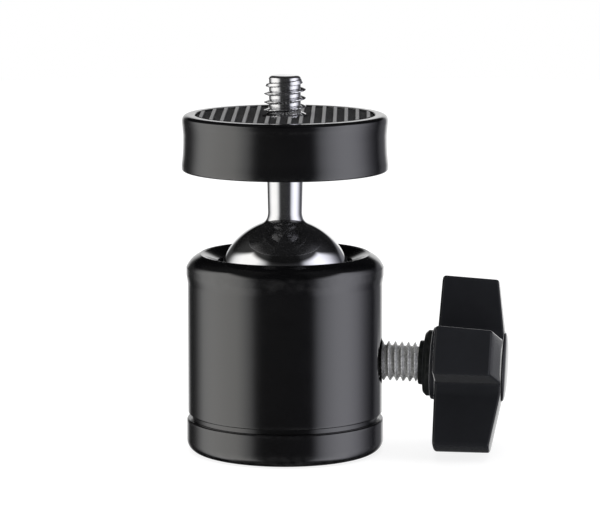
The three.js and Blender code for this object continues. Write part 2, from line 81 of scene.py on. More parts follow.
def rounded(corners):
    """Points (radius, height, edge) along an outline of (radius, height, fillet) corners.
    Edge is 1 on a raised edge's fillet and falls to 0 beside it, for the wear there.
    A fillet takes less than half of each straight beside it."""
    most, fewest_steps = 0.49, 3
    spots = [np.array(c[:2], float) for c in corners]
    fillets = [c[2] if len(c) > 2 else 0 for c in corners]
    area = sum(a[0] * b[1] - b[0] * a[1] for a, b in zip(spots, spots[1:] + spots[:1]))
    side = 1 if area > 0 else -1
    loop = spots[0][0] > 0
    found = []
    for i, here in enumerate(spots):
        at_end = not loop and i in (0, len(spots) - 1)
        if at_end or not fillets[i]:
            found.append((here[0], here[1], 0.0))
            continue
        back, on = spots[i - 1] - here, spots[(i + 1) % len(spots)] - here
        u, v = back / np.linalg.norm(back), on / np.linalg.norm(on)
        half = math.acos(max(-1, min(1, float(u @ v)))) / 2
        reach = min(fillets[i] / math.tan(half), most * np.linalg.norm(back), most * np.linalg.norm(on))
        radius = reach * math.tan(half)
        bisector = (u + v) / np.linalg.norm(u + v)
        centre = here + bisector * radius / math.sin(half)
        turning = math.copysign(1, v[1] * -u[0] + v[0] * u[1])
        start = here + u * reach - centre
        sweep = (math.pi - 2 * half) * turning
        steps = max(fewest_steps, math.ceil(abs(sweep) / ARC_STEP))
        raised = 1.0 if turning * side > 0 else 0.0
        first = math.atan2(start[1], start[0])
        for k in range(steps + 1):
            a = first + sweep * k / steps
            found.append((centre[0] + radius * math.cos(a), centre[1] + radius * math.sin(a), raised))
    return beside_edges(found, loop)


def beside_edges(points, loop):
    """The points, with more close to the ends of each long straight, so that an edge's wear stays near it."""
    long, near, further, faded = 1.2, 0.15, 0.5, 0.4
    made = []
    last = len(points) if loop else len(points) - 1
    for i, point in enumerate(points):
        here = np.array(point)
        made.append(tuple(here))
        if i >= last:
            continue
        there = np.array(points[(i + 1) % len(points)])
        length = np.linalg.norm((there - here)[:2])
        if length < long:
            continue
        for share, edge in (
            (near / length, here[2] * faded), (further / length, 0),
            (1 - further / length, 0), (1 - near / length, there[2] * faded),
        ):
            made.append((*(here + (there - here) * share)[:2], edge))
    return made


def bent(start, control, end, steps=8):
    """Points on a curve that leaves start, bends towards control and ends at end."""
    a, b, c = (np.array(p, float) for p in (start, control, end))
    shares = [i / steps for i in range(steps + 1)]
    return [tuple(a * (1 - t) ** 2 + b * 2 * t * (1 - t) + c * t * t) for t in shares]


def arc(centre, radius, first, last, steps):
    """Points on an arc from the first angle to the last."""
    x, y = centre
    return [(x + radius * math.cos(a), y + radius * math.sin(a)) for a in np.linspace(first, last, steps + 1)]


def on_sphere(centre, radius, steps, start=-math.inf, end=math.inf):
    """Points (radius, height) on a sphere round the axis, from one height above its centre to another.
    Without heights they run from its lowest point to its highest."""
    first, last = np.arcsin(np.clip([start / radius, end / radius], -1, 1))
    angles = np.linspace(first, last, steps + 1)
    return [(max(0.0, radius * math.cos(a)), centre + radius * math.sin(a)) for a in angles]


def around(sides):
    """The angles of a ring's corners."""
    return 2 * np.pi * np.arange(sides) / sides


def ring(radius, height, edge, sides):
    """One row of a skin: a circle, or a ring whose radius and height are given for each side."""
    if np.ndim(radius) == 0 and abs(radius) < TINY:
        return np.array([[0, 0, float(np.mean(height)), edge]])
    angle = around(sides)
    radius = np.broadcast_to(radius, sides)
    row = np.empty((sides, 4))
    row[:, 0], row[:, 1] = radius * np.cos(angle), radius * np.sin(angle)
    row[:, 2], row[:, 3] = height, edge
    return row


def skin(rows, loop):
    """Corners and faces of a closed skin through rows of points. A row of one point closes an end."""
    starts, total, faces = [], 0, []
    for row in rows:
        starts.append(total)
        total += len(row)
    pairs = list(zip(range(len(rows)), range(1, len(rows))))
    if loop:
        pairs.append((len(rows) - 1, 0))
    for low, high in pairs:
        a, b, count = starts[low], starts[high], max(len(rows[low]), len(rows[high]))
        if count == 1:
            continue
        here = np.arange(count)
        on = (here + 1) % count
        if len(rows[low]) == 1:
            faces += [(a, b + int(j), b + int(i)) for i, j in zip(here, on)]
        elif len(rows[high]) == 1:
            faces += [(a + int(i), a + int(j), b) for i, j in zip(here, on)]
        else:
            faces += [(a + int(i), a + int(j), b + int(j), b + int(i)) for i, j in zip(here, on)]
    places = np.concatenate(rows)
    triangles = np.array([(f[0], f[k], f[k + 1]) for f in faces for k in range(1, len(f) - 1)])
    a, b, c = (places[triangles[:, k], :3] for k in range(3))
    if np.einsum("ij,ij->", a, np.cross(b, c)) < 0:
        faces = [f[::-1] for f in faces]
    return places, faces


def turned(corners, sides=FINE):
    """The skin of a turned piece, from its outline's corners."""
    return skin([ring(*p, sides) for p in rounded(corners)], corners[0][0] > 0)


def tooth(phase, root, crest=0.125):
    """How high a thread stands, 0 to 1, at a phase of the turn, with its crest at one half.
    Root and crest are the flats' shares of the pitch."""
    away = np.abs(phase % 1 - 0.5) * 2
    return np.clip((1 - root - away) / (1 - root - crest), 0, 1)


def thread_rows(root, major, pitch, low, high, sides, envelope, floor=0.25):
    """Rows of a right-hand thread between two heights. Floor is the flat root's share of the pitch.
    Envelope gives the largest radius at a height or, in a hole, where major is under root, the smallest."""
    rows_per_pitch, crest_wear = 28, 0.8
    limit = np.minimum if major > root else np.maximum
    turn = np.arange(sides) / sides
    rows = []
    for z in np.linspace(low, high, math.ceil(abs(high - low) / pitch * rows_per_pitch) + 1):
        height = tooth(z / pitch - turn, floor)
        radius = limit(root + (major - root) * height, envelope(z))
        rows.append(ring(radius, z, crest_wear * height**6, sides))
    return rows


# Objects


def add_object(name, data):
    """A new object in the scene."""
    obj = bpy.data.objects.new(name, data)
    bpy.context.scene.collection.objects.link(obj)
    return obj


def make(name, shape, clamp=False):
    """A mesh object from a skin in millimetres, in the row's frame or the clamp's."""
    places, faces = shape
    mesh = bpy.data.meshes.new(name)
    mesh.from_pydata([tuple(p) for p in places[:, :3]], [], faces)
    edge = mesh.attributes.new("edge", "FLOAT", "POINT")
    edge.data.foreach_set("value", places[:, 3].astype(np.float32))
    obj = add_object(name, mesh)
    obj["clamp"] = clamp
    return obj


def apply(obj, kind, **settings):
    """Adds a modifier to the object and bakes it into its mesh."""
    modifier = obj.modifiers.new(kind.lower(), kind)
    for key, value in settings.items():
        setattr(modifier, key, value)
    bpy.context.view_layer.update()
    seen = obj.evaluated_get(bpy.context.evaluated_depsgraph_get())
    mesh = bpy.data.meshes.new_from_object(seen)
    obj.modifiers.clear()
    obj.data = mesh


def combine(obj, shape, operation="DIFFERENCE"):
    """Cuts a closed shape from the object, or keeps what they share."""
    tool = make("tool", shape)
    apply(obj, "BOOLEAN", object=tool, operation=operation, solver="MANIFOLD")
    bpy.data.objects.remove(tool)


def place(obj, body, node, material, crease=32):
    """Finishes the object: its own axes for the finish, smooth shading, scale, and what it stands for.
    The clamp isn't mirrored in the housing, as in the photo."""
    obj.visible_glossy = not obj["clamp"]
    mesh = obj.data
    places = np.empty(len(mesh.vertices) * 3)
    mesh.vertices.foreach_get("co", places)
    own = mesh.attributes.new("own", "FLOAT_VECTOR", "POINT")
    own.data.foreach_set("vector", places.astype(np.float32))
    mesh.transform(Matrix.Scale(MM, 4) @ (CLAMP if obj["clamp"] else Matrix.Identity(4)))
    mesh.shade_smooth()
    mesh.set_sharp_from_angle(angle=math.radians(crease))
    mesh.materials.clear()
    mesh.materials.append(material)
    del obj["clamp"]
    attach(obj, body)
    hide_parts(node)
    return obj


# Node trees


class Nodes:
    """A node tree under construction: short names for the nodes that the finishes and the studio use."""

    def __init__(self, owner):
        owner.use_nodes = True
        self.tree = owner.node_tree
        self.tree.nodes.clear()

    def add(self, kind, **settings):
        node = self.tree.nodes.new(kind)
        for key, value in settings.items():
            setattr(node, key, value)
        return node

    def feed(self, socket, value):
        """Links a socket to another node's output, or sets it to a value."""
        if isinstance(value, bpy.types.NodeSocket):
            self.tree.links.new(value, socket)
        else:
            socket.default_value = value

    def made(self, kind, *values, **settings):
        """The first output of a new node, whose first sockets are fed with the values."""
        node = self.add(kind, **settings)
        for socket, value in zip(node.inputs, values):
            self.feed(socket, value)
        return node.outputs[0]

    def math(self, operation, *values):
        return self.made("ShaderNodeMath", *values, operation=operation)

    def remap(self, value, from_low, from_high, to_low, to_high, kind="LINEAR"):
        limits = (from_low, from_high, to_low, to_high)
        return self.made("ShaderNodeMapRange", value, *limits, clamp=True, interpolation_type=kind)

    def split(self, vector):
        """The three parts of a vector."""
        node = self.add("ShaderNodeSeparateXYZ")
        self.feed(node.inputs[0], vector)
        return node.outputs


# Finishes


class Finish(Nodes):
    """A material under construction, whose shader has some sockets set to constants."""

    def __init__(self, name, **constants):
        self.material = bpy.data.materials.new(name)
        super().__init__(self.material)
        self.shader = self.add("ShaderNodeBsdfPrincipled")
        self.feed(self.add("ShaderNodeOutputMaterial").inputs["Surface"], self.shader.outputs[0])
        self.own = self.add("ShaderNodeAttribute", attribute_name="own").outputs["Vector"]
        self.edge = self.add("ShaderNodeAttribute", attribute_name="edge").outputs["Fac"]
        self.set(**constants)

    def set(self, **values):
        for key, value in values.items():
            self.feed(self.shader.inputs[key.replace("_", " ")], value)
        return self.material

    def noise(self, where, scale, detail, roughness=0.5):
        node = self.add("ShaderNodeTexNoise")
        values = {"Vector": where, "Scale": scale, "Detail": detail, "Roughness": roughness}
        for key, value in values.items():
            self.feed(node.inputs[key], value)
        return node.outputs["Fac"]

    def spread(self, noise, low, high):
        """A noise whose usual range, 0.3 to 0.7, is stretched from low to high."""
        return self.remap(noise, 0.3, 0.7, low, high)

    def stretched(self, across, along):
        """The piece's own place, scaled across its axis and along it."""
        return self.made("ShaderNodeVectorMath", self.own, (across, across, along), operation="MULTIPLY")

    def rings(self):
        """A place that is the same all round the axis: the radius and the height."""
        x, y, z = self.split(self.own)
        squares = self.math("ADD", self.math("MULTIPLY", x, x), self.math("MULTIPLY", y, y))
        return self.made("ShaderNodeCombineXYZ", self.math("SQRT", squares), 0.0, z)

    def mix(self, share, a, b):
        node = self.add("ShaderNodeMix", data_type="RGBA")
        self.feed(node.inputs[0], share)
        self.feed(node.inputs[6], a)
        self.feed(node.inputs[7], b)
        return node.outputs[2]

    def bump(self, height, microns, normal=None):
        node = self.add("ShaderNodeBump")
        node.inputs["Strength"].default_value = 1.0
        node.inputs["Distance"].default_value = microns * MICRON
        self.feed(node.inputs["Height"], height)
        if normal is not None:
            self.feed(node.inputs["Normal"], normal)
        return node.outputs[0]


def grey(value, tint=(1, 1, 1)):
    """A grey of that brightness, with its red, green and blue multiplied by the tint."""
    return (value * tint[0], value * tint[1], value * tint[2], 1)


def black_anodised():
    """Satin dyed aluminium: faint turning rings, cloudy gloss, and edges rubbed a little paler."""
    f = Finish("black_anodised", IOR=1.8)
    cloud = f.noise(f.own, scale=0.35, detail=3)
    turning = f.noise(f.rings(), scale=9, detail=3, roughness=0.6)
    grain = f.noise(f.own, scale=22, detail=2)
    rubbed = f.math("MULTIPLY", f.edge, f.remap(f.noise(f.own, scale=0.9, detail=3), 0.4, 0.7, 0, 1))
    colour = f.mix(cloud, grey(0.0035, (1, 1, 1.1)), grey(0.0055, (1, 1, 1.12)))
    colour = f.mix(f.math("MULTIPLY", rubbed, 0.12), colour, grey(0.1))
    gloss = f.math("ADD", f.spread(cloud, 0.08, 0.11), f.spread(turning, 0, 0.03))
    normal = f.bump(grain, 0.5, f.bump(turning, 1.0))
    return f.set(Base_Color=colour, Roughness=gloss, Normal=normal)


def polished_chrome():
    """Bright plating with a trace of haze and a few hairlines."""
    f = Finish("polished_chrome", Metallic=0.97)
    haze = f.noise(f.own, scale=0.5, detail=3)
    hairlines = f.noise(f.stretched(0.6, 9), scale=3, detail=3, roughness=0.6)
    colour = f.mix(haze, grey(0.62, (1, 1, 1.01)), grey(0.68, (1, 1, 1.02)))
    gloss = f.math("ADD", f.spread(haze, 0.03, 0.06), f.remap(hairlines, 0.62, 0.8, 0, 0.08))
    return f.set(Base_Color=colour, Roughness=gloss, Normal=f.bump(hairlines, 0.4))


def zinc_plate():
    """Dull bright plating, a little warm, paler on the crests of the thread.
    The stud is painted darker where it goes into the housing: painted shade in the hole, fading out just
    outside it."""
    f = Finish("zinc_plate", Metallic=0.5)
    cloud = f.noise(f.own, scale=1.4, detail=4)
    grain = f.noise(f.own, scale=14, detail=3)
    colour = f.mix(cloud, grey(0.46, (1, 1, 0.97)), grey(0.66, (1, 1, 0.98)))
    colour = f.mix(f.edge, colour, grey(0.95, (1, 1, 0.98)))
    out_along_stud = f.split(f.own)[2]
    # Painted shade: the stud is dark inside the housing's hole and fades back to plating within a millimetre
    # outside it
    colour = f.mix(f.remap(out_along_stud, 0.1, 0.9, 1, 0), colour, grey(0.04))
    return f.set(Base_Color=colour, Roughness=f.spread(cloud, 0.2, 0.32), Normal=f.bump(grain, 3))


def blacked_steel():
    """Blacked steel, oily and slightly green, with the black gone from its edges in places."""
    f = Finish("blacked_steel", Metallic=0.6)
    cloud = f.noise(f.own, scale=1.1, detail=4)
    turning = f.noise(f.rings(), scale=14, detail=2)
    rubbed = f.math("MULTIPLY", f.edge, f.remap(cloud, 0.5, 0.7, 0, 1))
    colour = f.mix(cloud, grey(0.016, (0.92, 1.05, 1)), grey(0.028, (0.94, 1.04, 1)))
    colour = f.mix(f.math("MULTIPLY", rubbed, 0.15), colour, grey(0.12))
    return f.set(Base_Color=colour, Roughness=f.spread(cloud, 0.32, 0.46), Normal=f.bump(turning, 4))


def brass_bush():
    """Turned brass, dulled unevenly."""
    f = Finish("brass_bush", Metallic=1.0)
    cloud = f.noise(f.own, scale=0.9, detail=4)
    turning = f.noise(f.rings(), scale=10, detail=3)
    colour = f.mix(cloud, (0.56, 0.38, 0.16, 1), (0.74, 0.54, 0.26, 1))
    return f.set(Base_Color=colour, Roughness=f.spread(cloud, 0.22, 0.4), Normal=f.bump(turning, 4))


def black_plastic():
    """Moulded black plastic with a fine spark-eroded grain, worn smoother on its edges."""
    f = Finish("black_plastic", IOR=1.24)
    cloud = f.noise(f.own, scale=0.5, detail=3)
    grain = f.noise(f.own, scale=9, detail=3, roughness=0.6)
    unworn = f.math("SUBTRACT", 1.0, f.math("MULTIPLY", f.edge, 0.6))
    colour = f.mix(cloud, grey(0.0165, (0.96, 1, 1.14)), grey(0.0205, (0.96, 1, 1.14)))
    normal = f.bump(f.math("MULTIPLY", grain, unworn), 4)
    return f.set(Base_Color=colour, Roughness=f.spread(cloud, 0.09, 0.13), Normal=normal)


def glossy_plastic():
    """The cap's black plastic, moulded against a polished face, with a few fine scratches."""
    f = Finish("glossy_plastic", IOR=1.6)
    cloud = f.noise(f.own, scale=0.4, detail=3)
    scratches = f.noise(f.stretched(1, 8), scale=2.5, detail=3, roughness=0.6)
    colour = f.mix(cloud, grey(0.014, (0.96, 1, 1.12)), grey(0.018, (0.96, 1, 1.12)))
    gloss = f.math("ADD", f.spread(cloud, 0.04, 0.06), f.remap(scratches, 0.62, 0.8, 0, 0.05))
    return f.set(Base_Color=colour, Roughness=gloss, Normal=f.bump(scratches, 0.4))


def black_nylon():
    """Machined black nylon: fine turning rings and a soft sheen."""
    f = Finish("black_nylon", IOR=1.5)
    cloud = f.noise(f.own, scale=0.8, detail=3)
    turning = f.noise(f.rings(), scale=8, detail=2)
    colour = f.mix(cloud, grey(0.008), grey(0.014))
    return f.set(Base_Color=colour, Roughness=f.spread(cloud, 0.4, 0.52), Normal=f.bump(turning, 10))


def bare_aluminium():
    """Plain turned aluminium, with clear tool rings."""
    f = Finish("bare_aluminium", Metallic=1.0)
    cloud = f.noise(f.own, scale=0.7, detail=3)
    turning = f.noise(f.rings(), scale=6, detail=3)
    colour = f.mix(cloud, grey(0.62, (1, 1, 1.01)), grey(0.74, (1, 1, 1.01)))
    return f.set(Base_Color=colour, Roughness=f.spread(turning, 0.25, 0.4), Normal=f.bump(turning, 8))


def white_acetal():
    """White moulded acetal, a little waxy, marked grey where the ball has rubbed."""
    f = Finish("white_acetal", IOR=1.48)
    rub = f.noise(f.stretched(1.2, 0.4), scale=1.5, detail=3)
    colour = f.mix(f.remap(rub, 0.55, 0.75, 0, 1), grey(0.76, (1, 0.99, 0.95)), grey(0.5))
    return f.set(Base_Color=colour, Roughness=f.spread(rub, 0.35, 0.5), Normal=f.bump(rub, 10))


def black_rubber():
    """Black rubber with a dusty, mottled skin, paler on its ribs."""
    f = Finish("black_rubber", IOR=1.5)
    mottle = f.noise(f.own, scale=3.2, detail=4, roughness=0.65)
    grain = f.noise(f.own, scale=16, detail=2)
    colour = f.mix(f.remap(mottle, 0.35, 0.7, 0, 1), grey(0.016), grey(0.036, (1, 1, 1.04)))
    colour = f.mix(f.remap(f.edge, 0.5, 0.9, 0, 1), colour, grey(0.26))
    return f.set(Base_Color=colour, Roughness=f.spread(mottle, 0.45, 0.7), Normal=f.bump(grain, 20))


def clear_glue():
    """A thin film of yellowish adhesive, with cloudy patches."""
    f = Finish("clear_glue", IOR=1.45)
    patches = f.noise(f.own, scale=0.9, detail=4)
    colour = f.mix(patches, (0.42, 0.36, 0.20, 1), (0.62, 0.57, 0.40, 1))
    return f.set(Base_Color=colour, Roughness=f.spread(patches, 0.3, 0.6), Normal=f.bump(patches, 30))


ANODISED, CHROME, ZINC, STEEL = black_anodised(), polished_chrome(), zinc_plate(), blacked_steel()
BRASS, PLASTIC, NYLON, RUBBER = brass_bush(), black_plastic(), black_nylon(), black_rubber()
ALUMINIUM, ACETAL, GLUE, GLOSSY = bare_aluminium(), white_acetal(), clear_glue(), glossy_plastic()

# The base. Heights are above the foot's underside, and radii are from the head's axis.
BALL_CENTRE = sum(span("ball")[:2]) / 2
BALL_RADIUS = span("ball")[2]
BALL_GAP = 0.05  # between the ball and what it bears on
NOTCH_RADIUS = 3.5
WALL_RADIUS = 14.8
BORE_RADIUS = 11.7


def notch_shape():
    """The U-shaped tool that cuts the stem's notch, open upwards and towards +Y."""
    top, reach = 12, 18.0
    points = [
        (NOTCH_RADIUS, top), (NOTCH_RADIUS, 0), *arc((0, 0), NOTCH_RADIUS, 0, -math.pi, 32)[1:-1],
        (-NOTCH_RADIUS, 0), (-NOTCH_RADIUS, top),
    ]
    rows = [np.array([(x, y, BALL_CENTRE + z, 0) for x, z in points]) for y in (0.0, reach)]
    n = len(points)
    faces = [(i, (i + 1) % n, n + (i + 1) % n, n + i) for i in range(n)]
    faces += [tuple(range(n - 1, -1, -1)), tuple(range(n, 2 * n))]
    return np.concatenate(rows), faces


def in_clamp_frame(shape):
    """A shape laid along the stud."""
    places, faces = shape
    moved = places.copy()
    m = np.array(CLAMP)
    moved[:, :3] = places[:, :3] @ m[:3, :3].T + m[:3, 3]
    return moved, faces


def housing():
    low, high, bead = span("housing")
    bead_foot, bead_low, bead_high = 25.9, 27.1, 28.3
    shoulder = bent((14.88, 28.45), (14.4, 29.6), (12.95, 30.22))[1:-1]
    crown_outer, crown_inner, dish_foot, lip, lip_top, lip_low = 12.88, 12.45, 10.55, 10.2, 29.2, 28.7
    corners = [
        (BORE_RADIUS, low, 0.2), (WALL_RADIUS, low, 0.3), (WALL_RADIUS, bead_foot, 2),
        (bead, bead_low, 1), (bead, bead_high, 0.25), *shoulder,
        (crown_outer, high, 0.18), (crown_inner, high - 0.08, 0.15), (dish_foot, lip_top + 0.15, 0.2),
        (lip, lip_top, 0.12), (lip, lip_low, 0.05), (BORE_RADIUS, lip_low),
    ]
    obj = make("turned_housing", turned(corners))
    combine(obj, notch_shape())
    radius, inside, outside = 3.2, -6, 2.4
    stud_hole = [
        (0, inside), (radius, inside), (radius, -0.3, 0.2), (radius + 0.7, 0.4),
        (radius + 2.7, outside), (0, outside),
    ]
    combine(obj, in_clamp_frame(turned(stud_hole, COARSE)))
    apply(obj, "BEVEL", width=0.12, segments=3, limit_method="ANGLE", angle_limit=math.radians(55),
          use_clamp_overlap=False)
    return place(obj, "base", "housing", ANODISED)


def base_cap():
    low, high, foot = span("base_cap")
    rim_top, groove, groove_top, spigot = 5, 14.2, 5.7, 11.6
    pocket, pocket_floor, bush_hole = 6.1, 8.95, 4.775
    corners = [
        (bush_hole, low, 0.2), (foot, low, 1.7), (foot, rim_top, 0.3), (groove, rim_top, 0.1),
        (groove, groove_top), (spigot, groove_top), (spigot, high, 0.3), (pocket, high, 0.15),
        (pocket, pocket_floor), (bush_hole, pocket_floor),
    ]
    obj = make("foot_cap", turned(corners))
    off_axis, radius, depth, flare = 9.5, 1.25, 2, 1.2
    spanner_hole = [(0, -1), (radius + flare, -1), (radius, 0.2), (radius, depth, 0.1), (0, depth + 0.5)]
    for side in (-1, 1):
        places, faces = turned(spanner_hole, COARSE)
        places[:, 0] += off_axis * side
        combine(obj, (places, faces))
    return place(obj, "base", "base_cap", ANODISED)


def tripod_insert():
    low, high, flange = span("tripod_insert")
    crest, root, pitch = 2.6, 3.27, 1.27
    roof, mouth, body, seat = 8.3, 3.6, 4.675, 9.0

    def chamfer(z):
        return max(0.0, mouth - (z - low))

    rows = [ring(0, roof + 0.5, 0, COARSE), ring(crest, roof, 0, COARSE)]
    rows += thread_rows(root, crest, pitch, roof - 0.1, low + 0.02, COARSE, chamfer)
    outside = rounded([
        (0, low), (mouth, low), (body, low, 0.2), (body, seat), (flange, seat, 0.2),
        (flange, high, 0.25), (0, high),
    ])
    rows += [ring(*p, COARSE) for p in outside[1:]]
    obj = make("threaded_bush", skin(rows, False))
    return place(obj, "base", "tripod_insert", BRASS)


def seat_ring():
    low, high, outer = span("seat_ring")
    inner = on_sphere(BALL_CENTRE, BALL_RADIUS + BALL_GAP, 12, low - BALL_CENTRE, high - BALL_CENTRE)
    obj = make("nylon_seat_ring", turned([*inner, (outer, high, 0.15), (outer, low, 0.15)], MEDIUM))
    combine(obj, notch_shape())
    return place(obj, "base", "seat_ring", NYLON)


# The cup under the ball


def pressure_cup():
    low, high, outer = span("pressure_cup")
    hollow = on_sphere(BALL_CENTRE, BALL_RADIUS + 1.0, 24, end=high - BALL_CENTRE)
    cone = 6.4
    corners = [*hollow, (outer, high, 0.2), (outer, low + cone, 0.2), (outer - cone, low, 0.3), (0, low)]
    obj = make("pushing_cup", turned(corners, MEDIUM))
    return place(obj, "clamp_cup", "pressure_cup", ALUMINIUM)


def cup_liner():
    rim = span("cup_liner")[1] - BALL_CENTRE
    inner = on_sphere(BALL_CENTRE, BALL_RADIUS + BALL_GAP, 20, end=rim)
    outer = on_sphere(BALL_CENTRE, BALL_RADIUS + 0.94, 20, end=rim)[::-1]
    obj = make("cup_lining", turned([*inner, *outer], MEDIUM))
    return place(obj, "clamp_cup", "cup_liner", ACETAL)


# The stem and what turns with it


def ball():
    rows = [ring(r, z, 0, FINE) for r, z in on_sphere(BALL_CENTRE, BALL_RADIUS, 120)]
    obj = make("polished_ball", skin(rows, False))
    return place(obj, "ball_tilt", "ball", CHROME)


def neck():
    high = span("neck")[1]
    leaves_ball, thin, wide, swelling = 9.64, 2.6, 2.75, 42.6
    bore, depth = 1.5, 4.4
    under = on_sphere(BALL_CENTRE, BALL_RADIUS + 0.01, 10, math.inf, leaves_ball)
    foot = under[-1]
    fillet = bent(foot, (thin + 0.06, foot[1] + 0.28), (thin, foot[1] + 1.6), 14)
    corners = [
        *under, *fillet[1:], (wide - 0.01, swelling), (wide, high, 0.3),
        (bore, high, 0.15), (bore, high - depth), (0, high - depth - 0.3),
    ]
    obj = make("turned_stem", turned(corners, MEDIUM))
    return place(obj, "stem", "neck", CHROME, crease=40)


def platform():
    low, high, outer = span("platform")
    waist, pad_edge, pad_floor = outer - 0.24, 13.6, high - 1.65
    stem_hole, screw_edge, screw_floor = 2.85, 4.7, high - 3.6
    corners = [
        (stem_hole, low, 0.15), (outer, low, 0.3), (outer, low + 0.75),
        *bent((outer, low + 1.0), (waist - 0.02, low + 2.6), (waist, low + 5.4), 10),
        (outer - 0.08, high - 1.2, 0.3),
        *bent((outer - 0.07, high - 0.95), (outer - 0.1, high), (outer - 1.05, high), 12),
        (pad_edge, high, 0.2), (pad_edge, pad_floor, 0.1), (screw_edge, pad_floor, 0.12),
        (screw_edge, screw_floor, 0.1), (stem_hole, screw_floor, 0.1),
    ]
    obj = make("camera_disc", turned(corners))
    return place(obj, "camera_platform", "platform", ANODISED)


def lock_washer():
    low, high, outer = span("lock_washer")
    inner, half_cut = 1.6, 0.12
    profile = rounded([(inner, low, 0.08), (outer, low, 0.12), (outer, high, 0.12), (inner, high, 0.08)])
    angles = np.linspace(math.pi / 2 + half_cut, math.pi / 2 + 2 * math.pi - half_cut, MEDIUM)
    rows = [np.array([(r * math.cos(a), r * math.sin(a), z, e) for r, z, e in profile]) for a in angles]
    ends = [np.array([[*row[:, :3].mean(0), 0]]) for row in (rows[0], rows[-1])]
    obj = make("split_washer", skin([ends[0], *rows, ends[1]], False))
    return place(obj, "camera_platform", "lock_washer", ZINC)


def camera_screw():
    low, high, flange = span("camera_screw")
    major, root, pitch = 3.175, 2.42, 1.27
    shank, flange_low, seat, rim = 1.3, 48.75, 49.85, high - 0.4

    def run_out(z):
        return min(major, root + max(0.0, rim - z) * 0.45)

    foot = rounded([
        (0, low), (shank, low, 0.2), (shank, flange_low, 0.05), (flange, flange_low, 0.15),
        (flange, seat, 0.2), (root, seat),
    ])
    rows = [ring(*p, COARSE) for p in foot]
    rows += thread_rows(root, major, pitch, seat + 0.05, rim - 0.05, COARSE, run_out, floor=0.42)
    rows += [ring(r, z, 0, COARSE) for r, z in bent((root, rim), (root - 0.12, high), (1.6, high))]
    rows.append(ring(0, high, 0, COARSE))
    obj = make("quarter_inch_screw", skin(rows, False))
    return place(obj, "camera_platform", "camera_screw", CHROME)


def pad_adhesive():
    low, high, outer = span("pad_adhesive")
    hole, rim = 5.1, outer - 0.2
    turn = around(MEDIUM)
    wave = 0.06 * np.sin(7 * turn) + 0.05 * np.sin(12 * turn + 1) + 0.03 * np.sin(23 * turn + 2)
    outline = [(hole, low), (rim, low), (rim + 0.05, (low + high) / 2), (rim, high), (hole, high)]
    rows = [ring(radius + wave, height, 0, MEDIUM) for radius, height in outline]
    obj = make("glue_film", skin(rows, True))
    return place(obj, "camera_platform", "pad_adhesive", GLUE)


def rubber_pad():
    """The pad's top is a grid of heights, with the ribs and the small cross ribs between them.
    A disc then cuts it round."""
    low, high, outer = span("rubber_pad")
    hole, pitch, cross, turn = 3.5, 1.68, 0.6, math.radians(6)
    half_rib, flank, depth, cross_hollow, cross_crest = 0.36, 0.13, 0.30, 0.12, 0.1
    reach_x, reach_y, margin = 8.5 * pitch, 23.5 * cross, 0.001
    xs = np.arange(-reach_x, reach_x + margin, pitch / 14)
    ys = np.arange(-reach_y, reach_y + margin, cross / 5)
    across = np.abs((xs / pitch) % 1 - 0.5) * pitch
    rib = np.clip((half_rib - across) / flank, 0, 1)
    rib = rib * rib * (3 - 2 * rib)
    groove = (1 - rib)[:, None]
    small = (0.5 + 0.5 * np.cos(2 * np.pi * ys / cross))[None, :]
    height = high - depth * groove - cross_hollow * groove * (1 - small) + cross_crest * groove * small

    nx, ny = len(xs), len(ys)
    count = nx * ny
    top = np.array([(x, y, height[i, j], rib[i] * 0.9) for i, x in enumerate(xs) for j, y in enumerate(ys)])
    bottom = top.copy()
    bottom[:, 2], bottom[:, 3] = low, 0

    def at(i, j):
        return i * ny + j

    faces = [
        (at(i, j), at(i + 1, j), at(i + 1, j + 1), at(i, j + 1)) for i in range(nx - 1) for j in range(ny - 1)
    ]
    faces += [tuple(count + k for k in face[::-1]) for face in faces]
    rim = [at(i, 0) for i in range(nx)] + [at(nx - 1, j) for j in range(1, ny)]
    rim += [at(i, ny - 1) for i in range(nx - 2, -1, -1)] + [at(0, j) for j in range(ny - 2, 0, -1)]
    faces += [(a, count + a, count + b, b) for a, b in zip(rim, rim[1:] + rim[:1])]

    places = np.concatenate([top, bottom])
    x, y = places[:, 0].copy(), places[:, 1].copy()
    places[:, 0] = x * math.cos(turn) - y * math.sin(turn)
    places[:, 1] = x * math.sin(turn) + y * math.cos(turn)
    obj = make("ribbed_pad", (places, faces))
    under, over = low + margin, high + 1
    combine(obj, turned([(hole, under), (outer, under), (outer, over), (hole, over)]), "INTERSECT")
    return place(obj, "camera_platform", "rubber_pad", RUBBER)


# The clamp, along the stud
SHANK_HOLE = 2.9


def thrust_tip():
    low, high, outer = span("thrust_tip", clamp=True)
    nose, shoulder, socket, depth = 0.5, high - 1.6, 1.3, 1.0
    corners = [
        (0, low), (nose, low, 0.2), (outer, shoulder, 0.2), (outer, high, 0.2), (socket, high, 0.1),
        (socket, high - depth), (0, high - depth - 0.3),
    ]
    obj = make("brass_tip", turned(corners, MEDIUM), clamp=True)
    return place(obj, "clamp_tip", "thrust_tip", BRASS)


def hexagon(flats, angles):
    """The radius of a hexagon at each angle, from its width across the flats."""
    return flats / 2 / np.cos((angles + np.pi / 6) % (np.pi / 3) - np.pi / 6)


